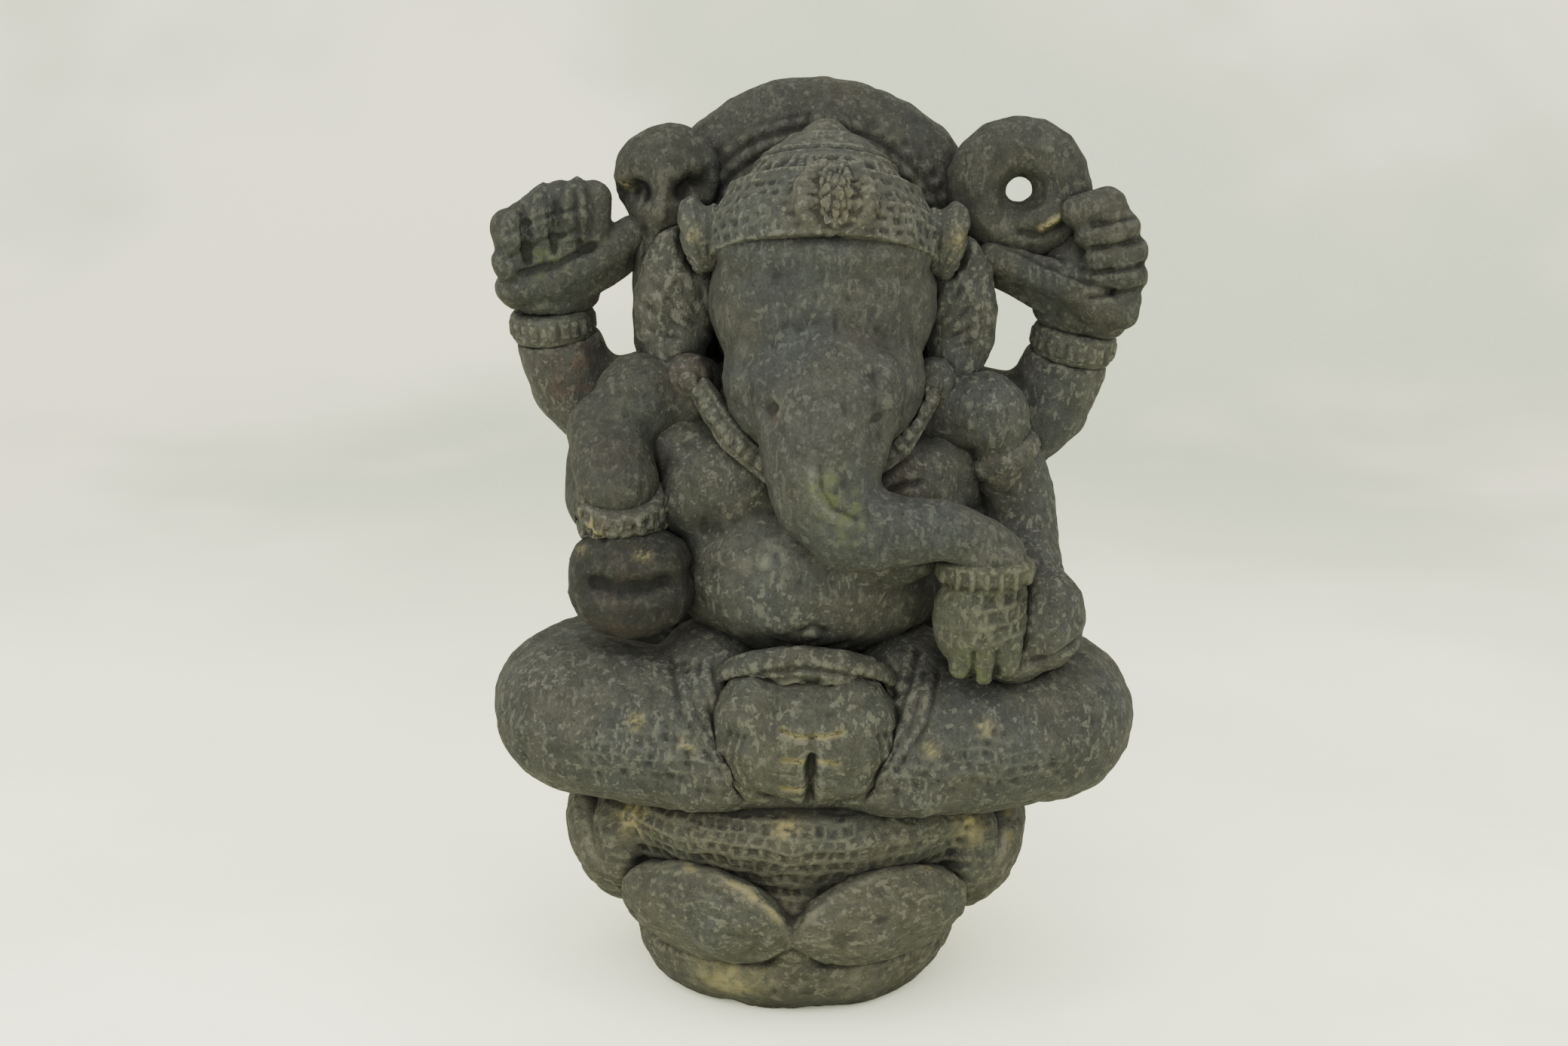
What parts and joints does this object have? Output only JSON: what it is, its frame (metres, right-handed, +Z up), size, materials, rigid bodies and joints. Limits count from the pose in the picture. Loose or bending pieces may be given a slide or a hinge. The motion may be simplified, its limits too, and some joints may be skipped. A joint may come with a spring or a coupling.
{
  "type": "ganesha idol",
  "caption": "Seated stone Ganesha on a lotus pedestal, trunk dipped in a sweet bowl, raised rear arms with axe and noose, round halo behind.",
  "frame": {"origin": "on the flat underside of the pedestal's foot, below the figure's centre line", "axes": "+Z up, the figure faces -Y, its right hand side is -X"},
  "size_m": [0.2587, 0.167, 0.364],
  "materials": {
    "skin": "dark volcanic stone, rubbed smooth over chisel pits",
    "hand": "the same stone, darker from handling",
    "cloth": "the same stone, chiselled folds",
    "ornament": "the same stone, cut in small squares with pale worn edges",
    "lotus": "the same stone, scale pattern with ochre flecks",
    "halo": "the same stone, coarse tooled"
  },
  "bodies": {
    "root": {"base_foot": "lotus", "lotus_drum": "lotus", "petal_front_R": "lotus", "petal_front_L": "lotus", "petal_side_R": "lotus", "petal_side_L": "lotus", "petal_back_R": "lotus", "petal_back_L": "lotus", "halo": "halo", "foot_R": "skin", "foot_L": "skin", "sash_front": "cloth", "fist_R": "hand", "trunk": "skin", "sweet_bowl": "ornament", "hand_L": "hand", "bracelet_R": "ornament", "leg_R": "skin", "leg_L": "skin", "diadem_jewel": "ornament", "diadem_flap_R": "ornament", "diadem_flap_L": "ornament", "earring_R": "ornament", "earring_L": "ornament", "diadem": "ornament", "crown_lower_tier": "ornament", "crown_upper_tier": "ornament", "crown_finial": "ornament", "head": "skin", "ear_R": "skin", "ear_L": "skin", "necklace": "ornament", "axe": "hand", "noose": "hand", "rear_bracelet_R": "ornament", "rear_bracelet_L": "ornament", "rear_hand_R": "hand", "rear_hand_L": "hand", "shoulder_R": "skin", "shoulder_L": "skin", "armband_R": "ornament", "armband_L": "ornament", "arm_R": "skin", "arm_L": "skin", "chest": "skin", "belly": "cloth", "hips": "cloth", "rear_arm_R": "skin", "rear_arm_L": "skin"}
  },
  "joints": []
}
